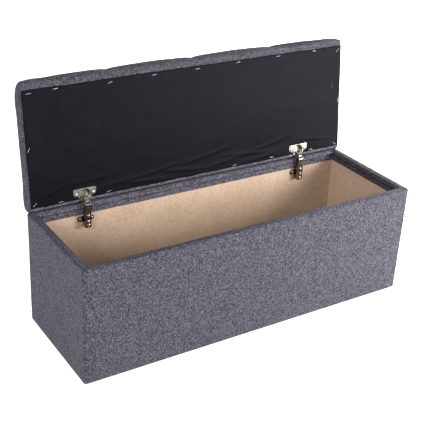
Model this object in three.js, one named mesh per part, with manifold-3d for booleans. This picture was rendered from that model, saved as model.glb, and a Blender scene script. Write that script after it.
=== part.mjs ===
// Upholstered storage bench with a padded lid on two concealed cup hinges.
// Millimetres, +Z up. X runs along the bench and the front is -Y. The lid is modelled open, at
// the end of its travel, and the origin is on the floor, at the middle of the open bench's extent.
import * as THREE from 'three';
import { mergeVertices } from 'three/addons/utils/BufferGeometryUtils.js';
import Module from 'manifold-3d';

const wasm = await Module();
wasm.setup();

// ---- Driving dimensions ----
const LENGTH = 1000;
const DEPTH = 335;
const BODY_HEIGHT = 318;
const GLIDE_HEIGHT = 5;
const BOARD = 16;
const FABRIC = 1.6;
const DUST_SHEET = 0.6;
const GAP = 0.3;
const TURN_IN = 28;
const TURN_UNDER = 26;

const LID_THICKNESS = 37;
const LID_CLEARANCE = 2;
const LID_TURN_UNDER = 30;
const LID_PLAN_RADIUS = 10;
const LID_TOP_RADIUS = 12;
const LID_EDGE_RADIUS = 3;
const LID_REAR_EDGE_RADIUS = 6;
const OPEN_ANGLE = THREE.MathUtils.degToRad(96.8);

const GLIDE_RADIUS = 12;
const GLIDE_INSET = 48;
const CORNER_SCREW_HEIGHTS = [80, 255];

const HINGE_X = 346;
const CUP_FROM_EDGE = 23;
const CUP_RADIUS = 17.5;
const CUP_WALL = 0.9;
const CUP_DEPTH = 13.4;
const CUP_LIP = 1.5;
const FLANGE = 1.2;
const FLANGE_LENGTH = 64;
const FLANGE_WIDTH = 20.5;
const FLANGE_EDGE = 18;
const FLANGE_FAR_RADIUS = 2.5;
const FLANGE_NEAR_RADIUS = 8;
const CUP_SCREW_SPACING = 48;
const CUP_SCREW_OFFSET = 3.5;
const HINGE_HEAD_RADIUS = 3.8;
const CUP_SCREW_HEAD = 1.8;
const CUP_SCREW_LENGTH = 14;
const CUP_PIN_HALF = 11;
const PIN_RADIUS = 1.25;
const PIN_HOLE_RADIUS = 1.6;
const LINK_RADIUS = 2.2;
const PLATE_SCREW_SPACING = 32;
const PLATE_DROP = 42;
const SHANK_RADIUS = 1.9;
const SHANK_HOLE_RADIUS = 2.3;
const OPEN_PIVOT_RELIEF = 3.5;
const OUTER_CHEEK = [5.1, 6.5];
const INNER_LINK_HALF = 4.8;

// Flat sides on small rods and screws, and on the hinge cups.
const ROD_SIDES = 12;
const CUP_SIDES = 32;

// ---- Derived levels, from the floor up ----
const RIM_Z = GLIDE_HEIGHT + BODY_HEIGHT;
const SKIN = FABRIC + GAP;
const FABRIC_UNDER_Z = GLIDE_HEIGHT + DUST_SHEET + GAP;
const PANEL_BOTTOM_Z = FABRIC_UNDER_Z + SKIN;
const PANEL_TOP_Z = RIM_Z - SKIN;
const RIM_WIDTH = BOARD + 2 * SKIN;
const HALF_LENGTH = LENGTH / 2;
const HALF_DEPTH = DEPTH / 2;

const LID_UNDER_Z = RIM_Z + LID_CLEARANCE;
const LID_FABRIC_Z = LID_UNDER_Z + DUST_SHEET + GAP;
const LID_BOARD_Z = LID_FABRIC_Z + SKIN;
const LID_FOAM_Z = LID_BOARD_Z + BOARD + GAP;
const LID_TOP_Z = LID_UNDER_Z + LID_THICKNESS;

// ---- Hinge points in the side view, as (y, z) ----
// The lid's closed and open places are one turn of OPEN_ANGLE about this pole.
const POLE = new THREE.Vector2(HALF_DEPTH - 9, RIM_Z + 10.8);
const OUTER_ARM_PIN = new THREE.Vector2(HALF_DEPTH - 35, RIM_Z + 4);
const INNER_ARM_PIN = new THREE.Vector2(HALF_DEPTH - 30, RIM_Z + 11.5);
const OUTER_PIN_REACH = 8;
const INNER_PIN_REACH = 11.3;
const CUP_Y = HALF_DEPTH - CUP_FROM_EDGE;

// A cup pin keeps its distance to the arm pin in both end places when the direction from the
// pole to it lies half the opening angle to either side of the direction to the arm pin.
function cupPin(armPin, reach, side) {
  const direction = armPin.clone().sub(POLE).angle() + side * OPEN_ANGLE / 2;
  return new THREE.Vector2(reach, 0).rotateAround(new THREE.Vector2(), direction).add(POLE);
}
const OUTER_CUP_PIN_CLOSED = cupPin(OUTER_ARM_PIN, OUTER_PIN_REACH, 1);
const OUTER_CUP_PIN_OPEN = cupPin(OUTER_ARM_PIN, OUTER_PIN_REACH, -1);
const INNER_CUP_PIN_OPEN = cupPin(INNER_ARM_PIN, INNER_PIN_REACH, -1);

// ---- Materials ----
function material(color, roughness, metalness = 0) {
  return new THREE.MeshStandardMaterial({ color, roughness, metalness });
}
const MATERIALS = {
  fabric: material(0x77757d, 0.95),
  dustSheet: material(0x232327, 0.9),
  chipboard: material(0xcaa985, 0.85),
  foam: material(0xe9e2c4, 0.9),
  nickel: material(0xb9b4aa, 0.3, 1),
  plastic: material(0x17171a, 0.5),
};

// ---- Solids ----
function toSolid(geometry) {
  const bare = geometry.clone();
  bare.deleteAttribute('normal');
  bare.deleteAttribute('uv');
  const merged = mergeVertices(bare, 1e-4);
  return new wasm.Manifold(new wasm.Mesh({
    numProp: 3,
    vertProperties: new Float32Array(merged.attributes.position.array),
    triVerts: new Uint32Array(merged.index.array),
  }));
}

function toGeometry(solid) {
  const mesh = solid.getMesh();
  const geometry = new THREE.BufferGeometry();
  geometry.setAttribute('position', new THREE.BufferAttribute(mesh.vertProperties, 3));
  geometry.setIndex(new THREE.BufferAttribute(mesh.triVerts, 1));
  geometry.computeVertexNormals();
  return geometry;
}

function cut(geometry, tools) {
  return toGeometry(tools.reduce((solid, tool) => solid.subtract(toSolid(tool)), toSolid(geometry)));
}

function join(geometries) {
  const solids = geometries.map(toSolid);
  return toGeometry(solids.slice(1).reduce((sum, solid) => sum.add(solid), solids[0]));
}

function block(x0, x1, y0, y1, z0, z1) {
  const geometry = new THREE.BoxGeometry(x1 - x0, y1 - y0, z1 - z0);
  return geometry.translate((x0 + x1) / 2, (y0 + y1) / 2, (z0 + z1) / 2);
}

function rodX(radius, x0, x1, y, z, sides = ROD_SIDES) {
  const geometry = new THREE.CylinderGeometry(radius, radius, x1 - x0, sides);
  return geometry.rotateZ(Math.PI / 2).translate((x0 + x1) / 2, y, z);
}

function rodY(radius, y0, y1, x, z, sides = ROD_SIDES) {
  const geometry = new THREE.CylinderGeometry(radius, radius, y1 - y0, sides);
  return geometry.translate(x, (y0 + y1) / 2, z);
}

function rodZ(radius, z0, z1, x, y, sides = ROD_SIDES) {
  const geometry = new THREE.CylinderGeometry(radius, radius, z1 - z0, sides);
  return geometry.rotateX(Math.PI / 2).translate(x, y, (z0 + z1) / 2);
}

// A shape drawn in the side view, as (y, z), made solid from x0 to x1.
function sideExtrude(shape, x0, x1) {
  const geometry = new THREE.ExtrudeGeometry(shape, { depth: x1 - x0, bevelEnabled: false, curveSegments: 8 });
  const sideView = new THREE.Matrix4().makeBasis(
    new THREE.Vector3(0, 1, 0), new THREE.Vector3(0, 0, 1), new THREE.Vector3(1, 0, 0));
  return geometry.applyMatrix4(sideView).translate(x0, 0, 0);
}

// A screw along +Z: its head's outer face at 0, its tip at the total length.
function screwGeometry(headRadius, headHeight, shankRadius, length) {
  const edge = 0.5;
  const profile = [
    [0, 0],
    [headRadius - edge, 0],
    [headRadius, edge],
    [headRadius, headHeight],
    [shankRadius, headHeight],
    [shankRadius, length - shankRadius],
    [0, length],
  ];
  const points = profile.map(([radius, along]) => new THREE.Vector2(radius, along));
  return new THREE.LatheGeometry(points, ROD_SIDES).rotateX(Math.PI / 2);
}

// ---- Slab with rounded edges: rings of a rounded rectangle, stacked in z ----
function arcInset(radius, height) {
  if (height >= radius) return 0;
  return radius - Math.sqrt(radius ** 2 - (radius - height) ** 2);
}

function ring(x0, x1, y0, y1, radius) {
  const steps = 3;
  const corners = [
    [x1 - radius, y1 - radius, 0],
    [x0 + radius, y1 - radius, 1],
    [x0 + radius, y0 + radius, 2],
    [x1 - radius, y0 + radius, 3],
  ];
  const points = [];
  for (const [cx, cy, quarter] of corners) {
    for (let i = 0; i <= steps; i += 1) {
      const angle = (quarter + i / steps) * Math.PI / 2;
      points.push([cx + radius * Math.cos(angle), cy + radius * Math.sin(angle)]);
    }
  }
  return points;
}

function slab({ inset, z0, z1, edge, rearEdge, topEdge }) {
  const levels = new Set([z0, z1]);
  for (let i = 1; i <= 3; i += 1) {
    const angle = i / 3 * Math.PI / 2;
    if (rearEdge > 0) levels.add(z0 + rearEdge * (1 - Math.cos(angle)));
    if (topEdge > 0) levels.add(z1 - topEdge * (1 - Math.cos(angle)));
  }
  const heights = [...levels].sort((a, b) => a - b);
  const rings = heights.map((z) => {
    const top = arcInset(topEdge, z1 - z);
    const sides = inset + top + arcInset(edge, z - z0);
    const rear = inset + top + arcInset(rearEdge, z - z0);
    const radius = Math.max(LID_PLAN_RADIUS - inset, 2);
    return ring(-HALF_LENGTH + sides, HALF_LENGTH - sides, -HALF_DEPTH + sides, HALF_DEPTH - rear, radius)
      .map(([x, y]) => [x, y, z]);
  });
  const count = rings[0].length;
  const positions = rings.flat(2);
  const index = [];
  for (let level = 0; level + 1 < rings.length; level += 1) {
    for (let i = 0; i < count; i += 1) {
      const a = level * count + i;
      const b = level * count + (i + 1) % count;
      index.push(a, b, b + count, a, b + count, a + count);
    }
  }
  const last = (rings.length - 1) * count;
  for (let i = 1; i + 1 < count; i += 1) {
    index.push(0, i + 1, i);
    index.push(last, last + i, last + i + 1);
  }
  const geometry = new THREE.BufferGeometry();
  geometry.setAttribute('position', new THREE.Float32BufferAttribute(positions, 3));
  geometry.setIndex(index);
  return geometry;
}

// ---- Scene graph ----
const bench = new THREE.Group();

function addMesh(parent, name, geometry, finish) {
  const mesh = new THREE.Mesh(geometry, finish);
  mesh.name = name;
  parent.add(mesh);
  return mesh;
}

// ---- Box panels and the screws at the corners ----
const PANEL_X = HALF_LENGTH - SKIN;
const PANEL_Y = HALF_DEPTH - SKIN;
const SCREW_X = PANEL_X - BOARD / 2;
const SCREW_HEAD = { radius: 5, height: 3 };
const SCREW_LENGTH = 50;
const SCREW_RADIUS = 3;

function cornerBores() {
  const bores = [];
  for (const sideX of [-1, 1]) {
    for (const sideY of [-1, 1]) {
      for (const z of CORNER_SCREW_HEIGHTS) {
        const outer = sideY * (PANEL_Y + 1);
        const inner = sideY * (PANEL_Y - SCREW_LENGTH - 1);
        const seat = sideY * (PANEL_Y - SCREW_HEAD.height - 2 * GAP);
        const ends = [Math.min(outer, inner), Math.max(outer, inner)];
        const seats = [Math.min(outer, seat), Math.max(outer, seat)];
        bores.push(rodY(SCREW_RADIUS + GAP, ...ends, sideX * SCREW_X, z));
        bores.push(rodY(SCREW_HEAD.radius + GAP, ...seats, sideX * SCREW_X, z));
      }
    }
  }
  return bores;
}

function plateScrewBores() {
  const bores = [];
  for (const side of [-1, 1]) {
    for (const half of [-0.5, 0.5]) {
      const x = side * HINGE_X + half * PLATE_SCREW_SPACING;
      bores.push(rodY(SHANK_HOLE_RADIUS, PANEL_Y - BOARD - 1, PANEL_Y - 3, x, RIM_Z - PLATE_DROP));
    }
  }
  return bores;
}

function addPanels() {
  const wall = [PANEL_BOTTOM_Z, PANEL_TOP_Z];
  const innerY = PANEL_Y - BOARD - GAP;
  const innerX = PANEL_X - BOARD - GAP;
  const bores = cornerBores();
  const front = block(-PANEL_X, PANEL_X, -PANEL_Y, -PANEL_Y + BOARD, ...wall);
  const back = block(-PANEL_X, PANEL_X, PANEL_Y - BOARD, PANEL_Y, ...wall);
  const left = block(-PANEL_X, -PANEL_X + BOARD, -innerY, innerY, ...wall);
  const right = block(PANEL_X - BOARD, PANEL_X, -innerY, innerY, ...wall);
  const bottom = block(-innerX, innerX, -innerY, innerY, PANEL_BOTTOM_Z, PANEL_BOTTOM_Z + BOARD);
  addMesh(bench, 'front_panel', cut(front, bores), MATERIALS.chipboard);
  addMesh(bench, 'back_panel', cut(back, [...bores, ...plateScrewBores()]), MATERIALS.chipboard);
  addMesh(bench, 'left_panel', cut(left, bores), MATERIALS.chipboard);
  addMesh(bench, 'right_panel', cut(right, bores), MATERIALS.chipboard);
  addMesh(bench, 'bottom_panel', bottom, MATERIALS.chipboard);
}

function addCornerScrews() {
  for (const [endName, sideY] of [['front', -1], ['back', 1]]) {
    for (const [sideName, sideX] of [['left', -1], ['right', 1]]) {
      CORNER_SCREW_HEIGHTS.forEach((z, i) => {
        const geometry = screwGeometry(SCREW_HEAD.radius, SCREW_HEAD.height, SCREW_RADIUS, SCREW_LENGTH);
        const name = `${endName}_${sideName}_screw_${i === 0 ? 'low' : 'high'}`;
        const screw = addMesh(bench, name, geometry, MATERIALS.nickel);
        screw.rotation.x = sideY * Math.PI / 2;
        screw.position.set(sideX * SCREW_X, sideY * (PANEL_Y - GAP), z);
      });
    }
  }
}

// ---- Fabric round the box: one strip per side, over the rim, turned in and turned under ----
function coverStrip(halfRun, halfAcross) {
  const outline = [
    [0, FABRIC_UNDER_Z],
    [TURN_UNDER, FABRIC_UNDER_Z],
    [TURN_UNDER, FABRIC_UNDER_Z + FABRIC],
    [FABRIC, FABRIC_UNDER_Z + FABRIC],
    [FABRIC, RIM_Z - FABRIC],
    [RIM_WIDTH - FABRIC, RIM_Z - FABRIC],
    [RIM_WIDTH - FABRIC, RIM_Z - TURN_IN],
    [RIM_WIDTH, RIM_Z - TURN_IN],
    [RIM_WIDTH, RIM_Z],
    [0, RIM_Z],
  ];
  const shape = new THREE.Shape(outline.map(([inward, z]) => new THREE.Vector2(inward, z)));
  const geometry = new THREE.ExtrudeGeometry(shape, { depth: 1, bevelEnabled: false });
  const position = geometry.attributes.position;
  const seam = GAP / Math.SQRT2;
  for (let i = 0; i < position.count; i += 1) {
    const inward = position.getX(i);
    const along = 2 * position.getZ(i) - 1;
    position.setXYZ(i, along * (halfRun - inward - seam), inward - halfAcross, position.getY(i));
  }
  return geometry;
}

function addBoxCovers() {
  const sides = [
    ['front_cover', 0, HALF_LENGTH, HALF_DEPTH],
    ['right_cover', 1, HALF_DEPTH, HALF_LENGTH],
    ['back_cover', 2, HALF_LENGTH, HALF_DEPTH],
    ['left_cover', 3, HALF_DEPTH, HALF_LENGTH],
  ];
  for (const [name, quarter, halfRun, halfAcross] of sides) {
    const strip = addMesh(bench, name, coverStrip(halfRun, halfAcross), MATERIALS.fabric);
    strip.rotation.z = quarter * Math.PI / 2;
  }
}

function addUnderside() {
  const margin = 8;
  const x = HALF_LENGTH - margin;
  const y = HALF_DEPTH - margin;
  const sheet = block(-x, x, -y, y, GLIDE_HEIGHT, GLIDE_HEIGHT + DUST_SHEET);
  addMesh(bench, 'bottom_dust_cover', sheet, MATERIALS.dustSheet);
  const top = GLIDE_HEIGHT - GAP;
  const profile = [[0, 0], [GLIDE_RADIUS - 3, 0], [GLIDE_RADIUS, 2], [GLIDE_RADIUS, top], [0, top]];
  const points = profile.map(([radius, z]) => new THREE.Vector2(radius, z));
  for (const [endName, sideY] of [['front', -1], ['back', 1]]) {
    for (const [sideName, sideX] of [['left', -1], ['right', 1]]) {
      const geometry = new THREE.LatheGeometry(points, 24).rotateX(Math.PI / 2);
      const glide = addMesh(bench, `${endName}_${sideName}_glide`, geometry, MATERIALS.plastic);
      glide.position.set(sideX * (HALF_LENGTH - GLIDE_INSET), sideY * (HALF_DEPTH - GLIDE_INSET), 0);
    }
  }
}

// ---- Lid, drawn in its closed place and then turned open about the pole ----
const lidPivot = new THREE.Group();
lidPivot.position.set(0, POLE.x, POLE.y);
lidPivot.rotation.x = -OPEN_ANGLE;
const lid = new THREE.Group();
lid.position.set(0, -POLE.x, -POLE.y);
lidPivot.add(lid);
bench.add(lidPivot);

function cupTools() {
  const tools = [];
  for (const side of [-1, 1]) {
    const x = side * HINGE_X;
    const top = LID_UNDER_Z + CUP_DEPTH + GAP;
    tools.push(rodZ(CUP_RADIUS + GAP, LID_UNDER_Z - 1, top, x, CUP_Y, CUP_SIDES));
    for (const half of [-0.5, 0.5]) {
      const screwX = x + half * CUP_SCREW_SPACING;
      tools.push(rodZ(SHANK_HOLE_RADIUS, LID_UNDER_Z - 1, top, screwX, CUP_Y - CUP_SCREW_OFFSET));
    }
  }
  return tools;
}

function addLidPieces() {
  const tools = cupTools();
  const outer = slab({
    inset: 0,
    z0: LID_FABRIC_Z,
    z1: LID_TOP_Z,
    edge: LID_EDGE_RADIUS,
    rearEdge: LID_REAR_EDGE_RADIUS,
    topEdge: LID_TOP_RADIUS,
  });
  const inside = slab({
    inset: FABRIC,
    z0: LID_FABRIC_Z + FABRIC,
    z1: LID_TOP_Z - FABRIC,
    edge: LID_EDGE_RADIUS - FABRIC,
    rearEdge: LID_REAR_EDGE_RADIUS - FABRIC,
    topEdge: LID_TOP_RADIUS - FABRIC,
  });
  const windowX = HALF_LENGTH - LID_TURN_UNDER;
  const windowY = HALF_DEPTH - LID_TURN_UNDER;
  const window = block(-windowX, windowX, -windowY, windowY, LID_FABRIC_Z - 1, LID_FABRIC_Z + FABRIC + 1);
  addMesh(lid, 'lid_cover', cut(outer, [inside, window, ...tools]), MATERIALS.fabric);

  const board = slab({
    inset: SKIN,
    z0: LID_BOARD_Z,
    z1: LID_BOARD_Z + BOARD,
    edge: LID_EDGE_RADIUS - SKIN,
    rearEdge: LID_REAR_EDGE_RADIUS - SKIN,
    topEdge: 0,
  });
  addMesh(lid, 'lid_board', cut(board, tools), MATERIALS.chipboard);

  const foam = slab({
    inset: SKIN,
    z0: LID_FOAM_Z,
    z1: LID_TOP_Z - SKIN,
    edge: 0,
    rearEdge: 0,
    topEdge: LID_TOP_RADIUS - SKIN,
  });
  addMesh(lid, 'lid_foam', foam, MATERIALS.foam);

  const sideMargin = 5;
  const frontMargin = 22;
  const rearMargin = 9;
  const sheet = block(
    -HALF_LENGTH + sideMargin, HALF_LENGTH - sideMargin,
    -HALF_DEPTH + frontMargin, HALF_DEPTH - rearMargin,
    LID_UNDER_Z, LID_UNDER_Z + DUST_SHEET);
  addMesh(lid, 'lid_dust_cover', cut(sheet, tools), MATERIALS.dustSheet);
}

// ---- Hinge pieces on the lid ----
// A plate outline with its own corner radius at the near (+Y) and far (-Y) edge.
function roundedBar(length, width, nearRadius, farRadius = nearRadius) {
  const shape = new THREE.Shape();
  const x = length / 2;
  const y = width / 2;
  shape.absarc(x - nearRadius, y - nearRadius, nearRadius, 0, Math.PI / 2);
  shape.absarc(-x + nearRadius, y - nearRadius, nearRadius, Math.PI / 2, Math.PI);
  shape.absarc(-x + farRadius, -y + farRadius, farRadius, Math.PI, 1.5 * Math.PI);
  shape.absarc(x - farRadius, -y + farRadius, farRadius, 1.5 * Math.PI, 2 * Math.PI);
  shape.closePath();
  return shape;
}

// The cup opens downwards at 0. Its flange has a straight far edge that just clears the bowl.
function cupGeometry() {
  const outline = roundedBar(FLANGE_LENGTH, FLANGE_WIDTH, FLANGE_NEAR_RADIUS, FLANGE_FAR_RADIUS);
  const plate = new THREE.ExtrudeGeometry(outline, {
    depth: FLANGE,
    bevelEnabled: false,
    curveSegments: 4,
  });
  plate.translate(0, FLANGE_WIDTH / 2 - FLANGE_EDGE, -FLANGE);
  const lipRadius = CUP_RADIUS + CUP_LIP;
  const beyond = block(-lipRadius, lipRadius, -2 * lipRadius, -FLANGE_EDGE, -FLANGE - 1, 1);
  const lip = cut(rodZ(lipRadius, -FLANGE, 0, 0, 0, CUP_SIDES), [beyond]);
  const bowl = rodZ(CUP_RADIUS, -FLANGE, CUP_DEPTH, 0, 0, CUP_SIDES);
  const hollow = rodZ(CUP_RADIUS - CUP_WALL, -FLANGE - 1, CUP_DEPTH - CUP_WALL, 0, 0, CUP_SIDES);
  const holes = [-0.5, 0.5].map((half) => (
    rodZ(SHANK_HOLE_RADIUS, -FLANGE - 1, 1, half * CUP_SCREW_SPACING, -CUP_SCREW_OFFSET)));
  return cut(join([plate, lip, bowl]), [hollow, ...holes]);
}

function addCup(name, x) {
  const cup = addMesh(lid, `${name}_hinge_cup`, cupGeometry(), MATERIALS.nickel);
  cup.position.set(x, CUP_Y, LID_UNDER_Z);
  const headZ = LID_UNDER_Z - FLANGE - GAP - CUP_SCREW_HEAD;
  [['a', -0.5], ['b', 0.5]].forEach(([letter, half]) => {
    const geometry = screwGeometry(HINGE_HEAD_RADIUS, CUP_SCREW_HEAD, SHANK_RADIUS, CUP_SCREW_LENGTH);
    const screw = addMesh(lid, `${name}_cup_screw_${letter}`, geometry, MATERIALS.nickel);
    screw.position.set(x + half * CUP_SCREW_SPACING, CUP_Y - CUP_SCREW_OFFSET, headZ);
  });
  const pinGeometry = rodX(PIN_RADIUS, -CUP_PIN_HALF, CUP_PIN_HALF, 0, 0);
  const pin = addMesh(lid, `${name}_outer_cup_pin`, pinGeometry, MATERIALS.nickel);
  pin.position.set(x, OUTER_CUP_PIN_CLOSED.x, OUTER_CUP_PIN_CLOSED.y);
}

// ---- Hinge pieces on the back panel ----
const ARM_FRONT_Y = OUTER_ARM_PIN.x - LINK_RADIUS;
const ARM_REAR_Y = ARM_FRONT_Y + 13;
const ARM_BOTTOM_Z = RIM_Z - 62;
const ARM_HEEL_Z = RIM_Z - 6;
const ARM_OPEN_Z = RIM_Z + 30;
const ARM_SHEET = 1.2;
const ARM_HALF_WIDTH = 8;
const ARM_SCREWS = { adjusting_screw: 27, fixing_screw: 43, depth_screw: 55 };
const ARM_SCREW_HEAD = { radius: 3.6, height: 1.8 };
const ARM_SCREW_LENGTH = 12;
const PLATE_BACK_Y = PANEL_Y - BOARD - GAP;
const PLATE_SHEET = 2.5;
const PLATE_WING = { length: 46, width: 14, radius: 5 };
const PLATE_HALF_WIDTH = 7;
const PLATE_RIB_HALF = 5.5;
const PLATE_RIB_GAP = 3;
const PLATE_RIB_TOP_Z = RIM_Z - 21;
const PLATE_SCREW_HEAD = 2;
const PLATE_SCREW_LENGTH = 15;

function armGeometry() {
  const towards = INNER_ARM_PIN.clone().sub(OUTER_ARM_PIN).angle();
  const normal = towards + Math.PI / 2;
  const shape = new THREE.Shape();
  shape.moveTo(ARM_REAR_Y, ARM_BOTTOM_Z);
  shape.lineTo(ARM_REAR_Y, ARM_HEEL_Z);
  shape.absarc(INNER_ARM_PIN.x, INNER_ARM_PIN.y, LINK_RADIUS, 0, normal);
  shape.absarc(OUTER_ARM_PIN.x, OUTER_ARM_PIN.y, LINK_RADIUS, normal, Math.PI);
  shape.lineTo(ARM_FRONT_Y, ARM_BOTTOM_Z);
  shape.closePath();
  const solid = sideExtrude(shape, -ARM_HALF_WIDTH, ARM_HALF_WIDTH);
  const inner = ARM_HALF_WIDTH - ARM_SHEET;
  const webTop = OUTER_ARM_PIN.y - 2 * LINK_RADIUS;
  const behind = ARM_REAR_Y + 1;
  const channel = block(-inner, inner, ARM_FRONT_Y + ARM_SHEET, behind, ARM_BOTTOM_Z - 1, ARM_OPEN_Z);
  const mouth = block(-inner, inner, ARM_FRONT_Y - 1, behind, webTop, ARM_OPEN_Z);
  const through = ARM_HALF_WIDTH + 1;
  const pinHoles = [OUTER_ARM_PIN, INNER_ARM_PIN].map((pin) => (
    rodX(PIN_HOLE_RADIUS, -through, through, pin.x, pin.y)));
  const screwHoles = Object.values(ARM_SCREWS).map((drop) => (
    rodY(SHANK_HOLE_RADIUS, ARM_FRONT_Y - 1, ARM_FRONT_Y + 3, 0, RIM_Z - drop)));
  return cut(solid, [channel, mouth, ...pinHoles, ...screwHoles]);
}

function plateGeometry() {
  const top = RIM_Z - TURN_IN - 2;
  const bottom = ARM_BOTTOM_Z + 1;
  const frontY = PLATE_BACK_Y - PLATE_SHEET;
  const ribFrontY = ARM_FRONT_Y + PLATE_RIB_GAP;
  const outline = roundedBar(PLATE_WING.length, PLATE_WING.width, PLATE_WING.radius);
  const wings = new THREE.ExtrudeGeometry(outline, {
    depth: PLATE_SHEET,
    bevelEnabled: false,
    curveSegments: 4,
  });
  wings.rotateX(Math.PI / 2).translate(0, PLATE_BACK_Y, RIM_Z - PLATE_DROP);
  const base = block(-PLATE_HALF_WIDTH, PLATE_HALF_WIDTH, frontY, PLATE_BACK_Y, bottom, top);
  const ribBackY = frontY + PLATE_SHEET / 5;
  const rib = block(-PLATE_RIB_HALF, PLATE_RIB_HALF, ribFrontY, ribBackY, bottom, PLATE_RIB_TOP_Z);
  const screwHoles = [-0.5, 0.5].map((half) => (
    rodY(SHANK_HOLE_RADIUS, frontY - 1, PLATE_BACK_Y + 1, half * PLATE_SCREW_SPACING, RIM_Z - PLATE_DROP)));
  const armHoles = Object.values(ARM_SCREWS).map((drop) => (
    rodY(SHANK_HOLE_RADIUS, ribFrontY - 1, ARM_REAR_Y, 0, RIM_Z - drop)));
  return cut(join([wings, base, rib]), [...screwHoles, ...armHoles]);
}

function addArm(name, x) {
  const plate = addMesh(bench, `${name}_mounting_plate`, plateGeometry(), MATERIALS.nickel);
  plate.position.x = x;
  const arm = addMesh(bench, `${name}_hinge_arm`, armGeometry(), MATERIALS.nickel);
  arm.position.x = x;

  const plateScrewY = PLATE_BACK_Y - PLATE_SHEET - GAP - PLATE_SCREW_HEAD;
  [['a', -0.5], ['b', 0.5]].forEach(([letter, half]) => {
    const geometry = screwGeometry(HINGE_HEAD_RADIUS, PLATE_SCREW_HEAD, SHANK_RADIUS, PLATE_SCREW_LENGTH);
    geometry.rotateX(-Math.PI / 2);
    const screw = addMesh(bench, `${name}_plate_screw_${letter}`, geometry, MATERIALS.nickel);
    screw.position.set(x + half * PLATE_SCREW_SPACING, plateScrewY, RIM_Z - PLATE_DROP);
  });

  const armScrewY = ARM_FRONT_Y - GAP - ARM_SCREW_HEAD.height;
  for (const [screwName, drop] of Object.entries(ARM_SCREWS)) {
    const { radius, height } = ARM_SCREW_HEAD;
    const geometry = screwGeometry(radius, height, SHANK_RADIUS, ARM_SCREW_LENGTH).rotateX(-Math.PI / 2);
    const screw = addMesh(bench, `${name}_${screwName}`, geometry, MATERIALS.nickel);
    screw.position.set(x, armScrewY, RIM_Z - drop);
  }

  for (const [pinName, pin] of [['outer_arm_pin', OUTER_ARM_PIN], ['inner_arm_pin', INNER_ARM_PIN]]) {
    const geometry = rodX(PIN_RADIUS, -ARM_HALF_WIDTH, ARM_HALF_WIDTH, 0, 0);
    const mesh = addMesh(bench, `${name}_${pinName}`, geometry, MATERIALS.nickel);
    mesh.position.set(x, pin.x, pin.y);
  }
}

// ---- Links between the arm and the cup ----
// A strap in its own frame: its arm pin at the origin, its cup pin along +Y.
function strap(length, x0, x1) {
  const shape = new THREE.Shape();
  shape.absarc(0, 0, LINK_RADIUS, Math.PI / 2, 1.5 * Math.PI);
  shape.absarc(length, 0, LINK_RADIUS, -Math.PI / 2, Math.PI / 2);
  shape.closePath();
  return sideExtrude(shape, x0, x1);
}

function pinHole(along) {
  return rodX(PIN_HOLE_RADIUS, -ARM_HALF_WIDTH, ARM_HALF_WIDTH, along, 0);
}

function addLink(name, geometry, x, armPin, cupPinPoint) {
  const link = addMesh(bench, name, geometry, MATERIALS.nickel);
  link.position.set(x, armPin.x, armPin.y);
  link.rotation.x = cupPinPoint.clone().sub(armPin).angle();
}

function addLinks(name, x) {
  const outerLength = OUTER_ARM_PIN.distanceTo(OUTER_CUP_PIN_OPEN);
  const [near, far] = OUTER_CHEEK;
  const cheeks = [strap(outerLength, -far, -near), strap(outerLength, near, far)];
  const barrel = rodX(LINK_RADIUS, -far, far, 0, 0);
  const outer = cut(join([...cheeks, barrel]), [pinHole(0), pinHole(outerLength)]);
  addLink(`${name}_outer_link`, outer, x, OUTER_ARM_PIN, OUTER_CUP_PIN_OPEN);

  // The inner link stops short of its place in the cup, which is the open pivot.
  const innerLength = INNER_ARM_PIN.distanceTo(INNER_CUP_PIN_OPEN) - OPEN_PIVOT_RELIEF;
  const inner = cut(strap(innerLength, -INNER_LINK_HALF, INNER_LINK_HALF), [pinHole(0)]);
  addLink(`${name}_inner_link`, inner, x, INNER_ARM_PIN, INNER_CUP_PIN_OPEN);
}

addPanels();
addCornerScrews();
addBoxCovers();
addUnderside();
addLidPieces();
for (const [name, side] of [['left', -1], ['right', 1]]) {
  addCup(name, side * HINGE_X);
  addArm(name, side * HINGE_X);
  addLinks(name, side * HINGE_X);
}

// The open lid reaches behind the box, so the bench moves forward to centre its extent.
const extent = new THREE.Box3().setFromObject(bench);
bench.position.y = -(extent.min.y + extent.max.y) / 2;

export default bench;
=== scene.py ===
"""Looks of the upholstered storage bench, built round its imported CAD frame. Metres, +Z up."""

import math
import random

import bmesh
import bpy
from mathutils import Matrix, Vector, noise


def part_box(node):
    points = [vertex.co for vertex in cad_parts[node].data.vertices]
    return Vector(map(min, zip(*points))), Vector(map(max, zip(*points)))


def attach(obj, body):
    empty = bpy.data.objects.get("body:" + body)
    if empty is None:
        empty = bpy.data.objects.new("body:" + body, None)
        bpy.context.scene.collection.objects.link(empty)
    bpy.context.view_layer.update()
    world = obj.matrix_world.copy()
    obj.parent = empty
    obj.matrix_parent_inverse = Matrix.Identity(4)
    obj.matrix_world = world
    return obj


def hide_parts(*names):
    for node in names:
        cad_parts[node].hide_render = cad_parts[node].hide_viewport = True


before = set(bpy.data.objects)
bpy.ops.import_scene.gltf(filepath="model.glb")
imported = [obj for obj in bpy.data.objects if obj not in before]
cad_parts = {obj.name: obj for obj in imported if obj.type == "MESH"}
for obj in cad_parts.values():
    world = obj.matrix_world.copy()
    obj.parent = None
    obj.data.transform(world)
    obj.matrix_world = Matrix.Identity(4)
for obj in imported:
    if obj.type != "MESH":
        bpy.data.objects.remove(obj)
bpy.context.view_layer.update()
MM = 0.001

# ---- Camera ----
CAMERA_PLACE = (-1.2586, -1.8572, 1.3912)
CAMERA_AZIMUTH = math.radians(-33.525)
CAMERA_ELEVATION = math.radians(26.484)
CAMERA_ROLL = math.radians(3.134)
CAMERA_LENS = 78.15


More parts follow.
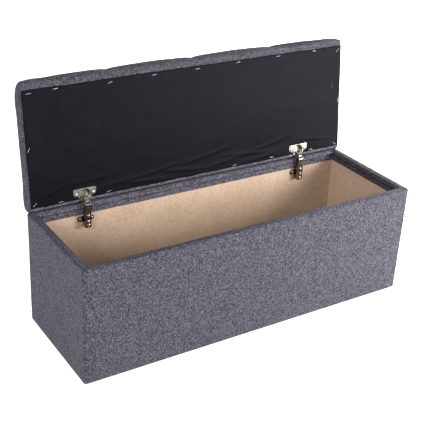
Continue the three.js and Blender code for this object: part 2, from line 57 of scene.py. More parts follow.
def add_camera():
    data = bpy.data.cameras.new("camera")
    data.lens = CAMERA_LENS
    data.clip_end = 50
    camera = bpy.data.objects.new("camera", data)
    bpy.context.scene.collection.objects.link(camera)
    camera.matrix_world = (
        Matrix.Translation(CAMERA_PLACE)
        @ Matrix.Rotation(CAMERA_AZIMUTH, 4, "Z")
        @ Matrix.Rotation(math.pi / 2 - CAMERA_ELEVATION, 4, "X")
        @ Matrix.Rotation(CAMERA_ROLL, 4, "Z")
    )
    bpy.context.scene.camera = camera


add_camera()

# ---- Places taken from the frame ----
FRONT_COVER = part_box("front_cover")
BOX_LOW = Vector((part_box("left_cover")[0][0], FRONT_COVER[0][1], FRONT_COVER[0][2]))
BOX_HIGH = Vector((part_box("right_cover")[1][0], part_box("back_cover")[1][1], FRONT_COVER[1][2]))
BOX_MIDDLE = (BOX_LOW + BOX_HIGH) / 2
HALF_LENGTH = (BOX_HIGH.x - BOX_LOW.x) / 2
HALF_DEPTH = (BOX_HIGH.y - BOX_LOW.y) / 2
DEPTH = 2 * HALF_DEPTH
UNDER_Z = BOX_LOW.z
RIM_Z = BOX_HIGH.z
FRONT_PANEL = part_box("front_panel")
SKIN = FRONT_PANEL[0][1] - BOX_LOW.y
RIM_WIDTH = FRONT_PANEL[1][1] - FRONT_PANEL[0][1] + 2 * SKIN
TURN_IN = 28 * MM
TURN_UNDER = 26 * MM
CLOTH = 1.0 * MM

# The open lid's own frame: x along the bench, s up from its rear edge, d from its underside
# towards the top of the cushion.
LID_LEAN = math.radians(96.8 - 90)
LID_S = Vector((0, math.sin(LID_LEAN), math.cos(LID_LEAN)))
LID_D = Vector((0, math.cos(LID_LEAN), -math.sin(LID_LEAN)))
LID_AXES = Matrix(((1, 0, 0), LID_S, -LID_D)).transposed().to_4x4()
SHEET_REAR = 9 * MM
SHEET_THICK = 0.6 * MM
SHEET_LOW = Vector(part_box("lid_dust_cover")[0])
LID_ORIGIN = Vector((
    0,
    SHEET_LOW.y - SHEET_REAR * LID_S.y,
    SHEET_LOW.z - SHEET_REAR * LID_S.z - SHEET_THICK * LID_D.z,
))
LID_THICKNESS = 37 * MM
LID_FABRIC_D = 0.9 * MM
LID_FOAM_D = 19.1 * MM
HINGE_X = 346 * MM
CUP_S = 23 * MM
CUP_HOLE = 18.2 * MM


def lid_point(x, s, d):
    return LID_ORIGIN + Vector((x, 0, 0)) + LID_S * s + LID_D * d


def lid_matrix(x, s, d, turn=0.0):
    """A place on the lid's underside: X turned from the bench's length, Z out of the underside."""
    return Matrix.Translation(lid_point(x, s, d)) @ LID_AXES @ Matrix.Rotation(turn, 4, "Z")


# ---- Materials ----
class Shader:
    """A material and the calls that build its nodes. Each call returns a socket."""

    def __init__(self, name):
        self.material = bpy.data.materials.new(name)
        self.material.use_nodes = True
        self.tree = self.material.node_tree
        self.tree.nodes.clear()
        self.surface = self.node("BsdfPrincipled")
        output = self.node("OutputMaterial")
        self.tree.links.new(self.surface.outputs[0], output.inputs[0])

    def node(self, kind, **settings):
        made = self.tree.nodes.new("ShaderNode" + kind)
        for key, value in settings.items():
            setattr(made, key, value)
        return made

    def put(self, socket, value):
        if isinstance(value, bpy.types.NodeSocket):
            self.tree.links.new(value, socket)
        else:
            socket.default_value = value

    def fill(self, node, **values):
        """Links or sets a node's inputs, named with _ for each space."""
        for key, value in values.items():
            self.put(node.inputs[key.replace("_", " ")], value)
        return node

    def set(self, **values):
        self.fill(self.surface, **values)

    def math(self, operation, *values):
        made = self.node("Math", operation=operation)
        for socket, value in zip(made.inputs, values):
            self.put(socket, value)
        return made.outputs[0]

    def plus(self, a, b):
        return self.math("ADD", a, b)

    def times(self, a, b):
        return self.math("MULTIPLY", a, b)

    def tint(self, a, b):
        return self.mix(1.0, a, b, "MULTIPLY")

    def scaled(self, vector, scale, shift=(0, 0, 0)):
        made = self.node("Mapping")
        return self.fill(made, Vector=vector, Scale=scale, Location=shift).outputs[0]

    def noise(self, vector, scale, detail=2.0, roughness=0.5):
        made = self.node("TexNoise")
        self.fill(made, Vector=vector, Scale=scale, Detail=detail, Roughness=roughness)
        return made.outputs["Fac"]

    def cells(self, vector, scale, randomness=1.0):
        made = self.node("TexVoronoi")
        return self.fill(made, Vector=vector, Scale=scale, Randomness=randomness)

    def split(self, kind, value):
        """The three outputs of a node that takes a vector or a colour apart."""
        made = self.node(kind)
        self.put(made.inputs[0], value)
        return made.outputs

    def ramp(self, value, *stops):
        made = self.node("ValToRGB")
        elements = made.color_ramp.elements
        while len(elements) < len(stops):
            elements.new(0.5)
        for element, (position, color) in zip(elements, stops):
            element.position = position
            element.color = (*color, 1) if hasattr(color, "__len__") else (color, color, color, 1)
        self.put(made.inputs[0], value)
        return made.outputs[0]

    def mix(self, factor, a, b, blend="MIX"):
        made = self.node("Mix", data_type="RGBA", blend_type=blend)
        self.put(made.inputs["Factor"], factor)
        self.put(made.inputs[6], a)
        self.put(made.inputs[7], b)
        return made.outputs[2]

    def bump(self, height, distance, strength=1.0, normal=None):
        made = self.fill(self.node("Bump"), Distance=distance, Strength=strength, Height=height)
        if normal is not None:
            self.put(made.inputs["Normal"], normal)
        return made.outputs[0]

    def place(self):
        return self.node("TexCoord").outputs["Object"]

    def cloth(self):
        return self.node("Attribute", attribute_name="cloth").outputs["Vector"]


THREAD = 1.35 * MM
SLUB_THREADS = 3.0
WEFT_TONE = 0.88
WEAVE_RELIEF = 0.45 * MM


def fabric_material(name, dark, light):
    """A plain weave of slubby two-tone threads. Each thread is light in places and dark in others.

    The third number of a point's cloth place is painted shade there, as in a fold; below zero it is painted
    light.
    """
    s = Shader(name)
    cloth = s.cloth()
    parts = s.split("SeparateXYZ", cloth)
    across = s.math("DIVIDE", parts[0], THREAD)
    along = s.math("DIVIDE", parts[1], THREAD)

    def thread(place, other, lift_sign):
        """The height of one thread system: round across, up and down along."""
        round_part = s.math("ABSOLUTE", s.math("SINE", s.times(place, math.pi)))
        count = s.math("FLOOR", place)
        phase = s.times(s.plus(s.math("SUBTRACT", other, 0.5), count), math.pi)
        lift = s.times(s.math("COSINE", phase), lift_sign)
        return s.plus(s.times(round_part, 0.55), s.times(lift, 0.45))

    warp = thread(across, along, 1.0)
    weft = thread(along, across, -1.0)
    height = s.math("MAXIMUM", warp, weft)
    warp_on_top = s.math("GREATER_THAN", warp, weft)
    tones = []
    for count, place, tone in ((across, along, 1.0), (along, across, WEFT_TONE)):
        number = s.math("FLOOR", count)
        shifted = s.plus(s.math("DIVIDE", place, SLUB_THREADS), s.times(number, 0.37))
        key = s.fill(s.node("CombineXYZ"), X=number, Y=s.math("FLOOR", shifted), Z=tone)
        chance = s.fill(s.node("TexWhiteNoise", noise_dimensions="3D"), Vector=key.outputs[0])
        slub = s.noise(s.scaled(cloth, (1, 1, 1), (3 * tone, 7, 9 * tone)), 520, 1)
        blend = s.plus(s.times(chance.outputs["Value"], 0.7), s.times(slub, 0.3))
        low = [channel * tone for channel in dark]
        high = [channel * tone for channel in light]
        middle = [a + (b - a) * 0.25 for a, b in zip(low, high)]
        tones.append(s.ramp(blend, (0.24, low), (0.46, middle), (0.78, high)))
    woven = s.mix(warp_on_top, tones[1], tones[0])
    # Painted shade in the gaps between the threads.
    thread_gap_shade = s.ramp(height, (0.1, 0.45), (0.75, 1.0))
    woven = s.tint(woven, thread_gap_shade)
    for stretch, shift in (((560, 190, 1), (0, 0, 3)), ((190, 560, 1), (5, 2, 0))):
        streaks = s.ramp(s.noise(s.scaled(cloth, stretch, shift), 1.0, 1), (0.36, 0.82), (0.64, 1.18))
        woven = s.tint(woven, streaks)
    # Painted shade from the third cloth number, and painted light where that number is below zero.
    woven = s.tint(woven, s.math("SUBTRACT", 1.0, parts[2]))
    s.set(Base_Color=woven, Roughness=0.92, Specular_IOR_Level=0.12)
    s.set(Sheen_Weight=0.08, Sheen_Tint=(0.75, 0.7, 0.85, 1), Sheen_Roughness=0.5)
    fuzz = s.noise(cloth, 2600, 2, 0.6)
    relief = s.plus(height, s.times(fuzz, 0.35))
    s.set(Normal=s.bump(relief, WEAVE_RELIEF, 0.85))
    return s.material


def dust_sheet_material():
    """Black spunbonded sheet: small bond points in rows, crossed by fine fibres."""
    s = Shader("black_dust_sheet")
    cloth = s.cloth()
    points = s.cells(s.scaled(cloth, (1, 1, 0)), 620, 0.12)
    dimple = s.math("SMOOTH_MIN", points.outputs["Distance"], 0.5, 0.2)
    fibres = s.noise(s.scaled(cloth, (900, 260, 1)), 1.0, 4, 0.7)
    crossed = s.noise(s.scaled(cloth, (240, 950, 1), (4, 2, 1)), 1.0, 4, 0.7)
    web = s.math("MAXIMUM", fibres, crossed)
    tone = s.ramp(web, (0.42, (0.0018, 0.0018, 0.0034)), (0.72, (0.0056, 0.0055, 0.0098)))
    broad = s.ramp(s.noise(cloth, 38, 4, 0.65), (0.3, (0.62, 0.62, 0.66)), (0.7, (1.3, 1.3, 1.38)))
    s.set(Base_Color=s.tint(tone, broad), Specular_IOR_Level=0.06)
    s.set(Roughness=s.ramp(web, (0.4, 0.52), (0.75, 0.68)))
    relief = s.plus(dimple, s.times(web, 0.7))
    s.set(Normal=s.bump(relief, 0.16 * MM, 0.8))
    return s.material


def chipboard_material():
    """Pressed wood chips: pale flakes of several sizes with darker ones scattered between."""
    s = Shader("raw_chipboard")
    place = s.place()
    bent = s.mix(0.012, place, s.node("TexNoise").outputs["Color"], "ADD")
    flakes = s.cells(s.scaled(place, (1, 1, 1.25)), 420)
    fine = s.cells(s.scaled(bent, (1.3, 1, 1)), 760)
    flake_tone = s.split("SeparateColor", flakes.outputs["Color"])
    fine_tone = s.split("SeparateColor", fine.outputs["Color"])
    pale = s.ramp(
        flake_tone[0],
        (0.0, (0.370, 0.244, 0.155)),
        (0.12, (0.469, 0.335, 0.236)),
        (0.6, (0.516, 0.378, 0.276)),
        (1.0, (0.568, 0.435, 0.330)),
    )
    speckle = s.ramp(fine_tone[1], (0.0, 0.72), (0.10, 0.95), (1.0, 1.05))
    board = s.tint(pale, speckle)
    cloudy = s.ramp(s.noise(place, 14, 3, 0.6), (0.3, (0.93, 0.92, 0.90)), (0.7, (1.04, 1.04, 1.04)))
    s.set(Base_Color=s.tint(board, cloudy))
    s.set(Roughness=s.ramp(fine_tone[0], (0.0, 0.66), (1.0, 0.84)))
    edges = s.plus(flakes.outputs["Distance"], s.times(fine.outputs["Distance"], 0.6))
    s.set(Normal=s.bump(edges, 0.35 * MM, 0.5))
    return s.material


def foam_material():
    """Open-cell foam with a pore in each cell."""
    s = Shader("cream_foam")
    place = s.place()
    pores = s.cells(place, 900)
    tone = s.ramp(pores.outputs["Distance"], (0.1, (0.55, 0.49, 0.33)), (0.6, (0.80, 0.75, 0.56)))
    s.set(Base_Color=tone, Roughness=0.95)
    s.set(Normal=s.bump(pores.outputs["Distance"], 0.5 * MM, 0.7))
    return s.material


HOLLOW_SHADE_REACH = 7 * MM
BENT_EDGE = 0.5 * MM


def nickel_material(name, tint):
    """Nickel plate, a little uneven and duller where it is rubbed, with painted shade in its hollows."""
    s = Shader(name)
    place = s.place()
    rubbed = s.noise(place, 110, 4, 0.6)
    grain = s.noise(s.scaled(place, (1, 1, 0.12)), 2400, 2, 0.6)
    duller = [channel * 0.86 for channel in tint]
    # Painted shade in the hollows, from ambient occlusion.
    painted_hollow_shade = s.fill(s.node("AmbientOcclusion", samples=8), Distance=HOLLOW_SHADE_REACH)
    shaded = s.ramp(painted_hollow_shade.outputs["AO"], (0.35, (0.07, 0.055, 0.045)), (0.88, (1.0, 1.0, 1.0)))
    plate = s.ramp(rubbed, (0.35, duller), (0.6, tint))
    s.set(Base_Color=s.tint(plate, shaded), Metallic=1.0)
    edges = s.fill(s.node("Bevel", samples=4), Radius=BENT_EDGE)
    mixed = s.plus(s.times(rubbed, 0.6), s.times(grain, 0.4))
    s.set(Roughness=s.ramp(mixed, (0.3, 0.21), (0.7, 0.35)))
    s.set(Normal=s.bump(mixed, 0.02 * MM, 0.35, edges.outputs[0]))
    return s.material


def staple_material():
    """Bright drawn wire, dulled along its length."""
    s = Shader("bright_staple_wire")
    drawn = s.noise(s.place(), 1500, 3, 0.6)
    s.set(Base_Color=s.ramp(drawn, (0.3, (0.48, 0.48, 0.48)), (0.7, (0.66, 0.66, 0.65))), Metallic=0.55)
    s.set(Roughness=s.ramp(drawn, (0.3, 0.42), (0.7, 0.58)), Normal=s.bump(drawn, 0.02 * MM, 0.4))
    return s.material


def stitching_material():
    """Grey sewing thread with a slanting twist."""
    s = Shader("grey_sewing_thread")
    place = s.place()
    twist = s.math("SINE", s.times(s.noise(s.scaled(place, (1, 1, 1.6)), 1900, 1, 0.4), 9))
    s.set(Base_Color=s.ramp(twist, (0.1, (0.075, 0.070, 0.088)), (0.8, (0.20, 0.19, 0.225))))
    s.set(Roughness=0.6, Sheen_Weight=0.2)
    s.set(Normal=s.bump(twist, 0.06 * MM, 0.6))
    return s.material


def plastic_material():
    """Fine-grained moulded plastic with scuffs that are paler and rougher."""
    s = Shader("black_plastic")
    place = s.place()
    grain = s.noise(place, 1500, 3, 0.6)
    scuffs = s.noise(s.scaled(place, (1, 6, 1)), 90, 4, 0.7)
    s.set(Base_Color=s.ramp(scuffs, (0.4, (0.012, 0.012, 0.014)), (0.75, (0.045, 0.045, 0.048))))
    s.set(Roughness=s.ramp(scuffs, (0.35, 0.36), (0.7, 0.6)))
    s.set(Normal=s.bump(grain, 0.12 * MM, 0.6))
    return s.material


def floor_material():
    """A pale floor that glows a little, so that it stays even under the lights."""
    s = Shader("pale_floor")
    place = s.place()
    s.set(Base_Color=s.ramp(s.noise(place, 0.6), (0.3, 0.88), (0.7, 0.90)), Roughness=0.9)
    s.set(Emission_Color=(1, 1, 1, 1), Emission_Strength=0.62)
    return s.material


FABRIC = fabric_material("grey_melange_weave", (0.0100, 0.0092, 0.0122), (0.148, 0.140, 0.173))
DUST_SHEET = dust_sheet_material()
CHIPBOARD = chipboard_material()
FOAM = foam_material()
NICKEL = nickel_material("nickel_plate", (0.60, 0.57, 0.525))
STAPLE_WIRE = staple_material()
# A darker, browner copy of the nickel for the hinge arms and mounting plates: partly a darker plating,
# partly painted shade for these parts down in the box.
DARK_SHADED_NICKEL = nickel_material("darker_and_shaded_nickel_plate", (0.30, 0.25, 0.20))
STITCHING = stitching_material()
PLASTIC = plastic_material()
FLOOR = floor_material()


# ---- Mesh helpers ----
def add_object(name, data, material, smooth=True):
    data.polygons.foreach_set("use_smooth", [smooth] * len(data.polygons))
    data.materials.append(material)
    made = bpy.data.objects.new(name, data)
    bpy.context.scene.collection.objects.link(made)
    return made


def build(name, points, faces, material, cloth=None):
    """A smooth piece. Each cloth place is (x, y) on the flat cloth, with its painted shade (painted light
    below zero) if it has any.
    """
    mesh = bpy.data.meshes.new(name)
    mesh.from_pydata([tuple(p) for p in points], [], faces)
    if cloth is not None:
        layer = mesh.attributes.new("cloth", "FLOAT_VECTOR", "POINT")
        layer.data.foreach_set("vector", [value for place in cloth for value in (*place, 0.0)[:3]])
    mesh.update()
    return add_object(name, mesh, material)


def from_bmesh(name, mesh, material, smooth=True):
    bmesh.ops.recalc_face_normals(mesh, faces=mesh.faces)
    data = bpy.data.meshes.new(name)
    mesh.to_mesh(data)
    mesh.free()
    return add_object(name, data, material, smooth)


def join_rings(mesh, rows):
    """Joins equal rings of vertices into the sides of a tube."""
    count = len(rows[0])
    for a, b in zip(rows, rows[1:]):
        for k in range(count):
            mesh.faces.new((a[k], a[(k + 1) % count], b[(k + 1) % count], b[k]))


def add_tube(mesh, rows):
    join_rings(mesh, rows)
    mesh.faces.new(list(reversed(rows[0])))
    mesh.faces.new(rows[-1])


def grid_faces(rows, columns, wrap=False):
    """Quads of a grid stored row by row. With wrap, each row closes on itself."""
    faces = []
    across = columns if wrap else columns - 1
    for i in range(rows - 1):
        for j in range(across):
            k = (j + 1) % columns
            faces.append((i * columns + j, i * columns + k, (i + 1) * columns + k, (i + 1) * columns + j))
    return faces


def declare(piece, body, slot, *nodes):
    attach(piece, body)
    if nodes:
        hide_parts(*nodes)
    return piece


def modifier(piece, kind, **settings):
    made = piece.modifiers.new(kind.lower(), kind)
    for key, value in settings.items():
        setattr(made, key, value)
    return made


def thicken(piece, thickness, offset=-1.0):
    modifier(piece, "SOLIDIFY", thickness=thickness, offset=offset)


def smooth_step(value):
    value = min(max(value, 0.0), 1.0)
    return value * value * (3 - 2 * value)


def hump(distance, width, power=2):
    """1 at no distance, falling to 0 beyond the width."""
    return math.exp(-(abs(distance / width) ** power))


def ripple(x, y, size, seed):
    """Smooth noise from -1 to 1 over a surface, with bumps about size metres wide."""
    return noise.noise(Vector((x / size, y / size, seed * 3.7)))


def with_lengths(points):
    """The running length of a line at each of its points."""
    lengths = [0.0]
    for a, b in zip(points, points[1:]):
        lengths.append(lengths[-1] + math.dist(a, b))
    return lengths


# ---- Fabric round the box ----
RIM_PROUD = 0.0
RIM_OUTER_RADIUS = 4.5 * MM
RIM_INNER_RADIUS = 6.5 * MM
RIM_SLOPE = 0.8 * MM
INNER_PROUD = 1.6 * MM
BOTTOM_RADIUS = 3 * MM
CORNER_RADIUS = 6 * MM
TUCK_DROP = 12 * MM
TUCK_DEPTH = 2.0 * MM
TUCK_WIDTH = 1.5 * MM
FOLD_SHADE = 0.88
FOLD_WIDTH = 1.9 * MM
RIM_SWAY = 0.15
# Painted light on the back's turned-in band and on the lid's turned-under band at the rear.
REAR_BAND_PAINTED_LIGHT = 0.5
HINGE_PRESS = 0.8 * MM
HINGE_REACH = 30 * MM
COLUMN = 9 * MM
BACK = 2


def arc(center, radius, start, end, steps):
    """Points on an arc in the strip's cross-section, as (inward, z)."""
    return [
        (
            center[0] + radius * math.cos(math.radians(start + (end - start) * i / steps)),
            center[1] + radius * math.sin(math.radians(start + (end - start) * i / steps)),
        )
        for i in range(steps + 1)
    ]


def strip_profile():
    """The strip's cross-section from its turned-under edge, up and over the rim, to its turned-in edge."""
    points = [(TURN_UNDER - i * (TURN_UNDER - BOTTOM_RADIUS) / 4, UNDER_Z) for i in range(4)]
    points += arc((BOTTOM_RADIUS, UNDER_Z + BOTTOM_RADIUS), BOTTOM_RADIUS, 270, 180, 4)
    top = RIM_Z + RIM_PROUD
    low, high = UNDER_Z + BOTTOM_RADIUS, top - RIM_OUTER_RADIUS
    points += [(0.0, low + (high - low) * i / 26) for i in range(1, 26)]
    points += arc((RIM_OUTER_RADIUS, high), RIM_OUTER_RADIUS, 180, 90, 5)
    inner_x = RIM_WIDTH + INNER_PROUD - RIM_INNER_RADIUS
    inner_z = top - RIM_SLOPE - RIM_INNER_RADIUS
    points += [
        (RIM_OUTER_RADIUS + (inner_x - RIM_OUTER_RADIUS) * t, top - RIM_SLOPE * t * t)
        for t in (0.25, 0.5, 0.75)
    ]
    points += arc((inner_x, inner_z), RIM_INNER_RADIUS, 88, 0, 6)
    bottom = RIM_Z - TURN_IN
    steps = 14
    for i in range(1, steps + 1):
        z = inner_z + (bottom - inner_z) * i / steps
        tuck = TUCK_DEPTH * hump(RIM_Z - TUCK_DROP - z, TUCK_WIDTH)
        points.append((RIM_WIDTH + INNER_PROUD * (1 - i / steps) - tuck, z))
    return points


def profile_normals(points):
    """The outward direction at each point of the cross-section."""
    normals = []
    for i in range(len(points)):
        a, b = points[max(i - 1, 0)], points[min(i + 1, len(points) - 1)]
        along = Vector((b[0] - a[0], b[1] - a[1])).normalized()
        normals.append(Vector((-along.y, along.x)))
    return normals


def seam_columns(inward):
    """Places across the strip's end, as (from the corner along the run, inward, how deep in the seam)."""
    radius = max(CORNER_RADIUS - inward, 0.8 * MM)
    columns = []
    for dip in (1.7, 0.9, 0.35):
        edge = inward + radius * (1 - math.sqrt(0.5))
        columns.append((edge + 0.2 * MM, edge, dip * MM))
    for angle, dip in ((36, 0.12), (24, 0.0), (12, 0.0), (0, 0.0)):
        turn = math.radians(angle)
        columns.append((
            inward + radius * (1 - math.sin(turn)),
            inward + radius * (1 - math.cos(turn)),
            dip * MM,
        ))
    return columns


def box_strip(name, node, half_run, half_across, quarter):
    """One side's fabric: an end seam at each corner, a soft rim and slightly uneven faces.

    Quarter turns from the front give the side. The back rim is pressed down under the hinges,
    and its turned-in band has painted light, with the painted shade of its fold still darker. The corner
    seams and every turned-in fold have painted shade.
    """
    profile = strip_profile()
    normals = profile_normals(profile)
    lengths = with_lengths(profile)
    middle = int(2 * half_run / COLUMN)
    turn = Matrix.Rotation(quarter * math.pi / 2, 3, "Z")
    points, cloth = [], []
    for (inward, z), normal, length in zip(profile, normals, lengths):
        end = seam_columns(inward)
        start = end[-1][0]
        row = [(a - half_run, b, dip) for a, b, dip in end]
        span = 2 * (half_run - start)
        row += [(start - half_run + span * i / middle, inward, 0.0) for i in range(1, middle)]
        row += [(half_run - a, b, dip) for a, b, dip in reversed(end)]
        visible = smooth_step((length - TURN_UNDER) / (20 * MM))
        for x, depth, dip in row:
            sway = 0.45 * MM * ripple(x, length, 0.11, quarter)
            sway += 0.22 * MM * ripple(x, length, 0.034, quarter + 9)
            push = visible * sway * (1 - (1 - RIM_SWAY) * max(normal.y, 0)) - dip
            if quarter == BACK and normal.y > 0:
                push -= HINGE_PRESS * normal.y * hump(abs(x) - HINGE_X, HINGE_REACH, 4)
            edge_shift = -math.copysign(dip * normal.x, x)
            local = Vector((x + edge_shift, depth + normal.x * push - half_across, z + normal.y * push))
            placed = turn @ local
            points.append((placed.x + BOX_MIDDLE.x, placed.y + BOX_MIDDLE.y, placed.z))
            # Painted shade in the corner seams and at the fold of the turned-in band; painted light on the
            # back's turned-in band.
            shade = 0.3 * dip / MM
            if inward > RIM_WIDTH / 2:
                shade = max(shade, FOLD_SHADE * hump(RIM_Z - TUCK_DROP - z, FOLD_WIDTH))
                shade -= REAR_BAND_PAINTED_LIGHT if quarter == BACK else 0.0
            cloth.append((x + 2.3 * quarter, length, shade))
    columns = len(points) // len(profile)
    faces = [tuple(reversed(f)) for f in grid_faces(len(profile), columns)]
    piece = build(name, points, faces, FABRIC, cloth)
    thicken(piece, CLOTH)
    declare(piece, "box", "fabric", node)


def add_box_fabric():
    for quarter, side in enumerate(("front", "right", "back", "left")):
        halves = (HALF_LENGTH, HALF_DEPTH) if quarter % 2 == 0 else (HALF_DEPTH, HALF_LENGTH)
        box_strip(f"{side}_fabric", f"{side}_cover", *halves, quarter)


# ---- Lid: cushion cover, foam, dust sheet ----
LID_ACROSS = 168
LID_UP = 56
LID_ROUND = 2 * (LID_ACROSS + LID_UP)
LID_TOP_RADIUS = 9 * MM
LID_PROUD = 3.9 * MM
CORNER_HUMP = 2.6 * MM
HUMP_PLACE = 52 * MM
HUMP_WIDTH = 28 * MM
CORNER_FLAT = 17 * MM
CORNER_DROOP = 2.2 * MM
LID_EDGE_RADIUS = 3 * MM
LID_REAR_RADIUS = 6 * MM
LID_PLAN_RADIUS = 8 * MM
LID_REAR_PLAN_RADIUS = 3 * MM
LID_TURN_UNDER = 30 * MM
CHANNELS = (0.25, 0.5, 0.75)
CHANNEL_DEPTH = 3.6 * MM
CHANNEL_MIDDLE_DEPTH = 6.5 * MM
CHANNEL_PULL = 2.4 * MM
CHANNEL_WIDTH = 9 * MM
PILLOW_RISE = 5.5 * MM
CROWN_FALL = 15 * MM
CROWN_REACH = 60 * MM
REAR_SPARE = 18 * MM
GAP_SHADE = 0.85


def arc_inset(radius, height):
    if height >= radius:
        return 0.0
    return radius - math.sqrt(radius ** 2 - (radius - height) ** 2)


def ring(inset, rear_inset, curve, rear_curve):
    """LID_ROUND points round the lid, as (x, s, outward x, outward s), from the rear left corner."""
    x1 = HALF_LENGTH - inset
    s0, s1 = rear_inset, DEPTH - inset
    sides = [
        ((-x1, s0), (1, 0), LID_ACROSS, rear_curve, rear_curve),
        ((x1, s0), (0, 1), LID_UP, rear_curve, curve),
        ((x1, s1), (-1, 0), LID_ACROSS, curve, curve),
        ((-x1, s1), (0, -1), LID_UP, curve, rear_curve),
    ]
    points = []
    for (cx, cs), (ax, a_s), count, first, last in sides:
        side = 2 * x1 if ax else s1 - s0
        straight = side - first - last
        into, out = math.pi * first / 4, math.pi * last / 4
        for i in range(count):
            t = (into + straight + out) * i / count
            angle, radius, along = 0.0, last, first + t - into
            if t < into:
                angle, radius = t / first - math.pi / 4, first
                along = first * (1 + math.sin(angle))
            elif t > into + straight:
                angle = (t - into - straight) / last
                along = side - last * (1 - math.sin(angle))
            back = radius * (1 - math.cos(angle))
            lean = math.sin(angle)
            flat = math.sqrt(1 - lean ** 2)
            points.append((
                cx + ax * along - a_s * back,
                cs + a_s * along + ax * back,
                a_s * flat + ax * lean,
                a_s * lean - ax * flat,
            ))
    return points


def top_grid(edge):
    """Points inside a ring, blended from its four sides, in rows that run up the lid."""
    n, m = LID_ACROSS, LID_UP
    inside = []
    for j in range(1, m):
        v = j / m
        left, right = edge[LID_ROUND - j], edge[n + j]
        for i in range(1, n):
            u = i / n
            low, high = edge[i], edge[2 * n + m - i]
            inside.append(tuple(
                (1 - v) * low[k] + v * high[k] + (1 - u) * left[k] + u * right[k]
                - (1 - u) * (1 - v) * edge[0][k] - u * (1 - v) * edge[n][k]
                - (1 - u) * v * edge[2 * n + m][k] - u * v * edge[n + m][k]
                for k in (0, 1)
            ))
    return inside


def top_faces(ring_start, inside_start):
    """Quads that fill a ring with its grid."""
    n, m = LID_ACROSS, LID_UP

    def index(i, j):
        if j == 0:
            return ring_start + i
        if i == n:
            return ring_start + n + j
        if j == m:
            return ring_start + 2 * n + m - i
        if i == 0:
            return ring_start + LID_ROUND - j
        return inside_start + (j - 1) * (n - 1) + (i - 1)

    return [
        (index(i, j), index(i + 1, j), index(i + 1, j + 1), index(i, j + 1))
        for j in range(m)
        for i in range(n)
    ]


def channel_grip(x, width):
    """1 on a sewn channel, falling to 0 between the channels."""
    nearest = min(abs(x - (share - 0.5) * 2 * HALF_LENGTH) for share in CHANNELS)
    return hump(nearest, width)


def on_channel(x):
    return channel_grip(x, 3 * MM) > 0.6


def side_bulge(along):
    """How far the cushion's side stands out, at a distance from the nearest corner along it."""
    proud = LID_PROUD + CORNER_HUMP * hump(along - HUMP_PLACE, HUMP_WIDTH)
    return proud * (1 - hump(along, CORNER_FLAT))


def droop(x, s):
    """How far the cushion's rear corners hang below its rear edge."""
    reach = max(HALF_LENGTH - abs(x), 0.0) / (22 * MM)
    return CORNER_DROOP * math.exp(-(reach ** 2) - (max(s, 0.0) / (15 * MM)) ** 2)


def pillow(x, s):
    """How full the cushion is at a place: 0 on a channel or an edge, 1 in the middle of a section."""
    section = 2 * HALF_LENGTH / (len(CHANNELS) + 1)
    across = abs(math.sin(math.pi * (x + HALF_LENGTH) / section))
    up = max(math.sin(math.pi * min(max(s / DEPTH, 0), 1)), 0)
    return across ** 0.7 * up ** 0.5


def crown(x, s):
    """How far the cushion's top falls towards its edges and corners, as a share of CROWN_FALL."""
    side = max(0.0, 1 - (HALF_LENGTH - abs(x)) / CROWN_REACH)
    end = max(0.0, 1 - (DEPTH - s) / CROWN_REACH, 0.6 - s / CROWN_REACH)
    return min(1.0, 0.08 * (side ** 2 + end ** 2) + 0.9 * (side * end) ** 2)


def lid_rings():
    """Rings from the cushion's top edge down its side and under to the turned-under edge."""
    low = LID_FABRIC_D + LID_EDGE_RADIUS
    high = LID_THICKNESS - LID_TOP_RADIUS
    rings = [
        (LID_TOP_RADIUS * (1 - math.sin(a)), high + LID_TOP_RADIUS * math.cos(a))
        for a in [math.pi / 2 * i / 4 for i in range(5)]
    ]
    rings += [(0.0, high + (low - high) * i / 5) for i in range(1, 6)]
    rings += [
        (LID_EDGE_RADIUS * (1 - math.cos(a)), low - LID_EDGE_RADIUS * math.sin(a))
        for a in [math.pi / 2 * i / 3 for i in range(1, 4)]
    ]
    steps = 7
    rings += [
        (LID_EDGE_RADIUS + (LID_TURN_UNDER - LID_EDGE_RADIUS) * i / steps, LID_FABRIC_D)
        for i in range(1, steps + 1)
    ]
    return rings


